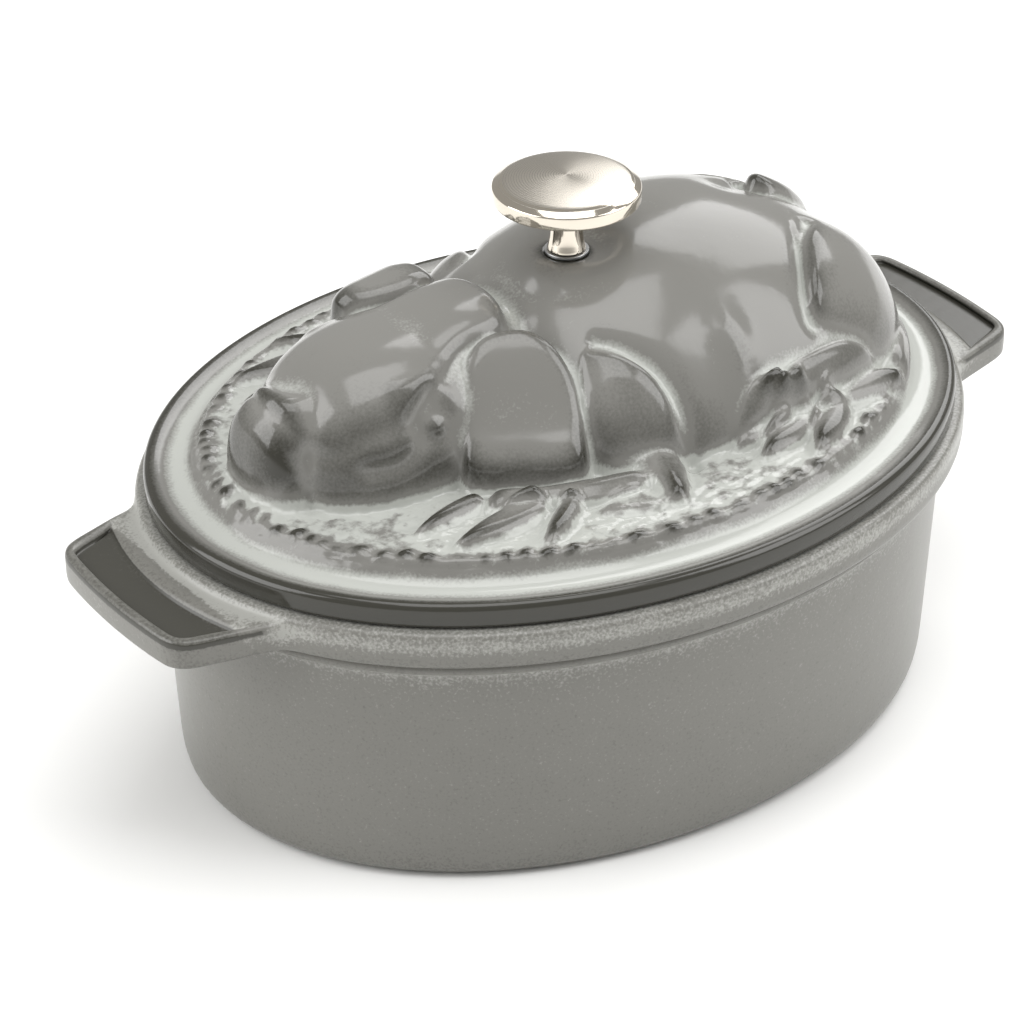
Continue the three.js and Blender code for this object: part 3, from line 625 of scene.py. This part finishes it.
def make_knob():
    """The knob, turned in one piece: flared stem, disc with a polished rim and a low crowned top."""
    disc_top = KNOB_TOP - 1.6
    disc_under = disc_top - 3.3
    bore = WASHER_HOLE
    profile = [(bore, KNOB_FOOT + 8), (bore, KNOB_FOOT + 0.2), (bore + 0.2, KNOB_FOOT), (3.5, KNOB_FOOT)]
    flare = ((3.7, 0.15), (3.62, 0.6), (3.4, 1.4), (3.2, 2.6), (3.1, 4))
    profile += [(r, KNOB_FOOT + z) for r, z in flare]
    profile += [(3.1, disc_under - 2.4)]
    profile += arc((5, disc_under - 2.4), 1.9, 180, 100, 6)
    profile += [(KNOB_RADIUS - 0.5, disc_under)]
    profile += arc((KNOB_RADIUS - 0.4, disc_under + 0.4), 0.4, -80, 0, 4)
    profile += arc((KNOB_RADIUS - 0.5, disc_top - 0.9), 0.5, 0, 50, 4)
    profile += arc((KNOB_RADIUS - 1.5, disc_top - 0.25), 0.4, 45, 75, 3)
    crown = np.linspace(KNOB_RADIUS - 2, 1, 14)
    rise = KNOB_TOP - disc_top
    profile += [(r, disc_top + 0.05 + (rise - 0.05) * (1 - (r / KNOB_RADIUS) ** 2)) for r in crown]
    piece = drawn_up("knob_turned", round_rings(profile, KNOB_X), ROUND)
    close_up(piece)
    shade(piece, 45)
    return piece


def on_crown(middle, normal):
    """True on the brushed top of the knob, inside its polished bevel."""
    return normal.z > 0.9 and middle.z > KNOB_TOP - 1.7


def make_washer(name, low, high, hole):
    """A flat ring with its edges broken."""
    radius = (high.x - low.x) / 2
    edge = 0.12
    profile = [
        (hole + edge, low.z), (radius - edge, low.z), (radius, low.z + edge), (radius, high.z - edge),
        (radius - edge, high.z), (hole + edge, high.z), (hole, high.z - edge),
        (hole, low.z + edge), (hole + edge, low.z),
    ]
    piece = drawn_up(name, round_rings(profile, KNOB_X), ROUND)
    close_up(piece)
    shade(piece, 30)
    return piece


def make_spring_washer():
    """A split ring: its section is spun almost once round the screw."""
    radius = (SPRING_HIGH.y - SPRING_LOW.y) / 2
    hole = WASHER_HOLE
    middle = (radius + hole) / 2
    gap = 15
    deselect_all()
    height = (SPRING_LOW.z + SPRING_HIGH.z) / 2
    turn = Matrix.Rotation(math.radians(90), 4, "X")
    bpy.ops.mesh.primitive_plane_add(size=1, location=((KNOB_X + middle) * MM, 0, height * MM))
    piece = bpy.context.object
    piece.name = "spring_washer_coil"
    piece.rotation_euler = turn.to_euler()
    piece.scale = ((radius - hole) * MM, (SPRING_HIGH.z - SPRING_LOW.z) * MM, 1)
    bpy.ops.object.transform_apply()
    bpy.ops.object.mode_set(mode="EDIT")
    bpy.ops.mesh.select_all(action="SELECT")
    start = math.radians(gap / 2)
    axis_point = (KNOB_X * MM, 0, height * MM)
    bpy.ops.transform.rotate(value=-start, orient_axis="Z", center_override=axis_point)
    bpy.ops.mesh.spin(steps=72, angle=math.radians(360 - gap), center=axis_point, axis=(0, 0, 1))
    bpy.ops.mesh.select_all(action="SELECT")
    bpy.ops.mesh.remove_doubles(threshold=0.001 * MM)
    bpy.ops.mesh.fill_holes(sides=0)
    bpy.ops.mesh.normals_make_consistent(inside=False)
    bpy.ops.object.mode_set(mode="OBJECT")
    apply_modifier(piece, "BEVEL", width=0.12 * MM, segments=2, limit_method="ANGLE")
    shade(piece, 30)
    return piece


def make_screw():
    """The pan-head screw, head down, with a slot cut across its head."""
    head_under = SCREW_LOW.z
    head_top = head_under + 2.5
    head = (SCREW_HIGH.x - SCREW_LOW.x) / 2
    profile = [(r, head_under + z) for r, z in ((1, 0), (2.4, 0.05), (3.1, 0.35), (3.6, 0.95))]
    profile += [(head, head_under + 1.6), (head, head_top - 0.15), (head - 0.15, head_top), (2, head_top)]
    profile += [(2, SCREW_HIGH.z - 1), (1, SCREW_HIGH.z)]
    piece = drawn_up("knob_screw_slotted", round_rings(profile, KNOB_X), ROUND)
    close_up(piece)
    deselect_all()
    bpy.ops.mesh.primitive_cube_add(size=1, location=(KNOB_X * MM, 0, head_under * MM))
    cutter = bpy.context.object
    cutter.scale = (3 * head * MM, 0.9 * MM, 2.5 * MM)
    bpy.ops.object.transform_apply()
    apply_modifier(piece, "BOOLEAN", object=cutter, operation="DIFFERENCE", solver="EXACT")
    bpy.data.objects.remove(cutter)
    shade(piece, 30)
    return piece


# How deep the glaze lies

GLAZE_EVENING = 6


def pool_glaze(piece, narrow, wide, run_off):
    """The glaze's depth in mm: it pools in hollows, and runs thin off edges and steep sides."""
    mesh = piece.data
    place = points_of(piece)
    count = len(place)
    normal = np.empty(3 * count)
    mesh.vertex_normals.foreach_get("vector", normal)
    normal = normal.reshape(-1, 3)
    ends = np.empty(2 * len(mesh.edges), int)
    mesh.edges.foreach_get("vertices", ends)
    a, b = ends.reshape(-1, 2).T
    pull = 1 / np.maximum(np.linalg.norm(place[a] - place[b], axis=1), 0.3)
    total = np.bincount(a, pull, count) + np.bincount(b, pull, count)
    eased = place.copy()
    depth = np.zeros(count)
    for step in range(1, wide + 1):
        for axis in range(3):
            column = eased[:, axis]
            around = np.bincount(a, pull * column[b], count) + np.bincount(b, pull * column[a], count)
            eased[:, axis] = 0.4 * column + 0.6 * around / total
        if step == narrow:
            depth += ((eased - place) * normal).sum(1)
        if step == wide:
            depth += 0.3 * ((eased - place) * normal).sum(1)
    depth -= run_off * ease(1 - normal[:, 2], 0.4, 0.9)
    for _ in range(GLAZE_EVENING):
        around = np.bincount(a, pull * depth[b], count) + np.bincount(b, pull * depth[a], count)
        depth = 0.5 * depth + 0.5 * around / total
    return depth


def keep_on_mesh(piece, name, values):
    """Keeps a number for each point on the mesh, for the material to read."""
    layer = piece.data.attributes.new(name, "FLOAT", "POINT")
    layer.data.foreach_set("value", values.astype(np.float32))


# Materials

def colour(code):
    """An sRGB hex code as linear red, green, blue and alpha."""
    parts = [int(code[i:i + 2], 16) / 255 for i in (1, 3, 5)]
    return [c / 12.92 if c <= 0.04045 else ((c + 0.055) / 1.055) ** 2.4 for c in parts] + [1]


def new_material(name):
    """An empty node tree with its shader and output."""
    material = bpy.data.materials.new(name)
    material.use_nodes = True
    tree = material.node_tree
    return material, tree, tree.nodes["Principled BSDF"]


def add(tree, kind, links=None, values=None, **settings):
    """Adds one node: its settings, the values on its sockets and the outputs that feed its sockets."""
    made = tree.nodes.new(kind)
    for name, value in settings.items():
        setattr(made, name, value)
    for socket, value in (values or {}).items():
        made.inputs[socket].default_value = value
    for socket, source in (links or {}).items():
        tree.links.new(source, made.inputs[socket])
    return made


def per_metre(size_mm):
    """A texture's scale from the size of its grain."""
    return 1 / (size_mm * MM)


def noise(tree, place, size_mm, detail):
    """A noise pattern whose grain has a real size."""
    values = {"Scale": per_metre(size_mm), "Detail": detail}
    return add(tree, "ShaderNodeTexNoise", {"Vector": place}, values).outputs["Fac"]


def scaled_sum(tree, source, factor, rest):
    """One output times a factor, plus another."""
    links = {0: source, 2: rest}
    return add(tree, "ShaderNodeMath", links, {1: factor}, operation="MULTIPLY_ADD").outputs[0]


def glazed_enamel(name, body, pooled, thin, gloss, speck):
    """Majolica enamel: milky grey glass, pale where it pools, with the dark ground showing at edges."""
    material, tree, shader = new_material(name)
    place = add(tree, "ShaderNodeTexCoord").outputs["Object"]
    # The glaze attribute is the glaze's depth; on the pot it also holds a painted highlight on the rim band.
    depth = add(tree, "ShaderNodeAttribute", attribute_name="glaze").outputs["Fac"]
    cloud = noise(tree, place, 9, 4)
    grain = noise(tree, place, 0.55, 3)
    drift = scaled_sum(tree, cloud, 0.2, depth)
    mixed = scaled_sum(tree, grain, speck, drift)
    pits = add(tree, "ShaderNodeAttribute", attribute_name="pits").outputs["Fac"]
    stipple = noise(tree, place, 2.2, 1)
    ground = add(tree, "ShaderNodeMath", {0: stipple, 1: pits}, operation="MULTIPLY").outputs[0]
    mixed = scaled_sum(tree, ground, 0.9, mixed)
    middle = 0.1 + 0.5 * speck
    edge = add(tree, "ShaderNodeMapRange", {"Value": mixed},
               {"From Min": middle - 0.12, "From Max": middle - 0.62, "To Min": 0, "To Max": 1}).outputs[0]
    pool = add(tree, "ShaderNodeMapRange", {"Value": mixed},
               {"From Min": middle + 0.04, "From Max": middle + 0.32, "To Min": 0, "To Max": 1}).outputs[0]
    lighter = add(tree, "ShaderNodeMix", {0: pool}, {6: colour(body), 7: colour(pooled)},
                  data_type="RGBA").outputs[2]
    tint = add(tree, "ShaderNodeMix", {0: edge, 6: lighter}, {7: colour(thin)}, data_type="RGBA").outputs[2]
    tree.links.new(tint, shader.inputs["Base Color"])
    shader.inputs["Roughness"].default_value = gloss
    shader.inputs["IOR"].default_value = 1.52
    peel = noise(tree, place, 3.2, 2)
    rough = scaled_sum(tree, ground, 8, peel)
    bump = add(tree, "ShaderNodeBump", {"Height": rough}, {"Strength": 0.12, "Distance": 0.3 * MM})
    tree.links.new(bump.outputs[0], shader.inputs["Normal"])
    return material


def brushed_nickel():
    """Nickel plate brushed in circles: fine turned lines that draw the light out into a fan."""
    material, tree, shader = new_material("nickel_plate_brushed")
    place = add(tree, "ShaderNodeTexCoord").outputs["Object"]
    centred = add(tree, "ShaderNodeMapping", {"Vector": place},
                  {"Location": (-KNOB_X * MM, 0, 0)}).outputs[0]
    lines = add(tree, "ShaderNodeTexWave", {"Vector": centred},
                {"Scale": math.tau / 20 * per_metre(0.5), "Distortion": 0.4,
                 "Detail": 2, "Detail Scale": 2},
                wave_type="RINGS", rings_direction="Z").outputs["Fac"]
    bump = add(tree, "ShaderNodeBump", {"Height": lines}, {"Strength": 0.06, "Distance": 0.02 * MM})
    tree.links.new(bump.outputs[0], shader.inputs["Normal"])
    rough = add(tree, "ShaderNodeMapRange", {"Value": lines}, {"To Min": 0.27, "To Max": 0.33}).outputs[0]
    tree.links.new(rough, shader.inputs["Roughness"])
    shader.inputs["Base Color"].default_value = colour("#CFC9BF")
    shader.inputs["Metallic"].default_value = 1
    shader.inputs["Anisotropic"].default_value = 0.6
    return material


def polished_nickel():
    """Nickel plate polished to a mirror, faintly warm, with the odd fine scratch."""
    material, tree, shader = new_material("nickel_plate_polished")
    place = add(tree, "ShaderNodeTexCoord").outputs["Object"]
    haze = noise(tree, place, 1.5, 4)
    rough = add(tree, "ShaderNodeMapRange", {"Value": haze}, {"To Min": 0.05, "To Max": 0.12}).outputs[0]
    tree.links.new(rough, shader.inputs["Roughness"])
    shader.inputs["Base Color"].default_value = colour("#DDD5C8")
    shader.inputs["Metallic"].default_value = 1
    return material


def stainless_steel():
    """Plain turned stainless steel: satin grey with faint tool lines."""
    material, tree, shader = new_material("stainless_steel_turned")
    place = add(tree, "ShaderNodeTexCoord").outputs["Object"]
    grain = noise(tree, place, 0.4, 3)
    rough = add(tree, "ShaderNodeMapRange", {"Value": grain}, {"To Min": 0.28, "To Max": 0.42}).outputs[0]
    tree.links.new(rough, shader.inputs["Roughness"])
    shader.inputs["Base Color"].default_value = colour("#B4B5B6")
    shader.inputs["Metallic"].default_value = 1
    return material


def matt_black_enamel():
    """Matt black enamel on the inside: a fine stony texture with no gloss."""
    material, tree, shader = new_material("enamel_matt_black")
    place = add(tree, "ShaderNodeTexCoord").outputs["Object"]
    grit = noise(tree, place, 0.8, 4)
    bump = add(tree, "ShaderNodeBump", {"Height": grit}, {"Strength": 0.35, "Distance": 0.15 * MM})
    tree.links.new(bump.outputs[0], shader.inputs["Normal"])
    tint = add(tree, "ShaderNodeMix", {0: grit}, {6: colour("#1B1B1B"), 7: colour("#2C2B2A")},
               data_type="RGBA")
    tree.links.new(tint.outputs[2], shader.inputs["Base Color"])
    shader.inputs["Roughness"].default_value = 0.55
    return material


# Camera, floor and light

CAMERA_AZIMUTH = -36.33
CAMERA_ELEVATION = 30.86
CAMERA_DISTANCE = 743.8
CAMERA_TARGET = (0, 0, 50)


def direction(azimuth, elevation):
    """The way from the object to something seen at an azimuth and an elevation in degrees."""
    a = math.radians(azimuth)
    e = math.radians(elevation)
    return Vector((math.sin(a) * math.cos(e), -math.cos(a) * math.cos(e), math.sin(e)))


def set_camera():
    """The photograph's viewpoint."""
    back = direction(CAMERA_AZIMUTH, CAMERA_ELEVATION)
    data = bpy.data.cameras.new("camera")
    data.lens = 133.4
    data.sensor_width = 36
    data.shift_x = -0.045
    data.shift_y = -0.0466
    camera = bpy.data.objects.new("camera", data)
    camera.location = (Vector(CAMERA_TARGET) + back * CAMERA_DISTANCE) * MM
    camera.rotation_euler = (-back).to_track_quat("-Z", "Y").to_euler()
    bpy.context.scene.collection.objects.link(camera)
    bpy.context.scene.camera = camera


def add_softbox(name, azimuth, elevation, distance, size, power):
    """A soft white light that faces the object, placed by its direction from it."""
    back = direction(azimuth, elevation)
    data = bpy.data.lights.new(name, "AREA")
    data.shape = "RECTANGLE"
    data.size, data.size_y = size
    data.energy = power
    light = bpy.data.objects.new(name, data)
    light.location = Vector((0, 0, 0.06)) + back * distance
    light.rotation_euler = (-back).to_track_quat("-Z", "Y").to_euler()
    bpy.context.scene.collection.objects.link(light)


def set_stage():
    """A pale floor, a dim room and soft boxes left, right, above and behind."""
    deselect_all()
    bpy.ops.mesh.primitive_plane_add(size=8)
    floor = bpy.context.object
    floor.name = "floor"
    material, _, shader = new_material("floor_pale_paint")
    shader.inputs["Base Color"].default_value = colour("#F6F6F5")
    shader.inputs["Roughness"].default_value = 0.9
    floor.data.materials.append(material)
    world = bpy.data.worlds.new("room")
    world.use_nodes = True
    world.node_tree.nodes["Background"].inputs["Color"].default_value = colour("#F2F1EE")
    world.node_tree.nodes["Background"].inputs["Strength"].default_value = 0.45
    scene = bpy.context.scene
    scene.world = world
    scene.view_settings.view_transform = "Standard"
    add_softbox("softbox_left", -110, 30, 1.2, (1.0, 0.9), 10)
    add_softbox("softbox_right", 45, 35, 1.2, (0.7, 0.9), 7)
    add_softbox("softbox_back", 112, 40, 1.3, (1.0, 0.8), 8)
    add_softbox("softbox_top", -20, 80, 1.2, (0.9, 0.9), 7)


# The finished object

set_camera()
set_stage()
grey_enamel_lid = glazed_enamel("majolica_enamel_gloss", "#7A7975", "#B0B2AD", "#35342E", 0.14, 0.3)
grey_enamel_pot = glazed_enamel("majolica_enamel_satin", "#73726D", "#9F9F9A", "#3B3A34", 0.28, 0.8)
black_enamel = matt_black_enamel()
nickel_brushed = brushed_nickel()
nickel_polished = polished_nickel()
steel = stainless_steel()

pot = make_pot()
# The pot's glaze attribute also carries the painted highlight on its rim band.
keep_on_mesh(pot, "glaze", pot_glaze_and_highlight(pot))
lid = make_lid()
keep_on_mesh(lid, "glaze", lid_glaze(lid))
keep_on_mesh(lid, "pits", pitted(lid))
knob = make_knob()
screw = make_screw()
seat_washer = make_washer("knob_seat_washer_ring", SEAT_WASHER_LOW, SEAT_WASHER_HIGH, WASHER_HOLE)
flat_washer = make_washer("flat_washer_ring", FLAT_LOW, FLAT_HIGH, WASHER_HOLE)
spring_washer = make_spring_washer()

finish_piece(pot, "pot", "pot", "enamel", grey_enamel_pot, black_enamel)
line_inside(pot, inside_pot)
finish_piece(lid, "lid", "lid", "enamel", grey_enamel_lid, black_enamel)
line_inside(lid, under_lid)
finish_piece(knob, "lid", "knob", "knob_metal", nickel_polished, nickel_brushed)
line_inside(knob, on_crown)
finish_piece(screw, "lid", "knob_screw", "fastener_steel", steel)
finish_piece(seat_washer, "lid", "knob_seat_washer", "fastener_steel", steel)
finish_piece(flat_washer, "lid", "flat_washer", "fastener_steel", steel)
finish_piece(spring_washer, "lid", "spring_washer", "fastener_steel", steel)
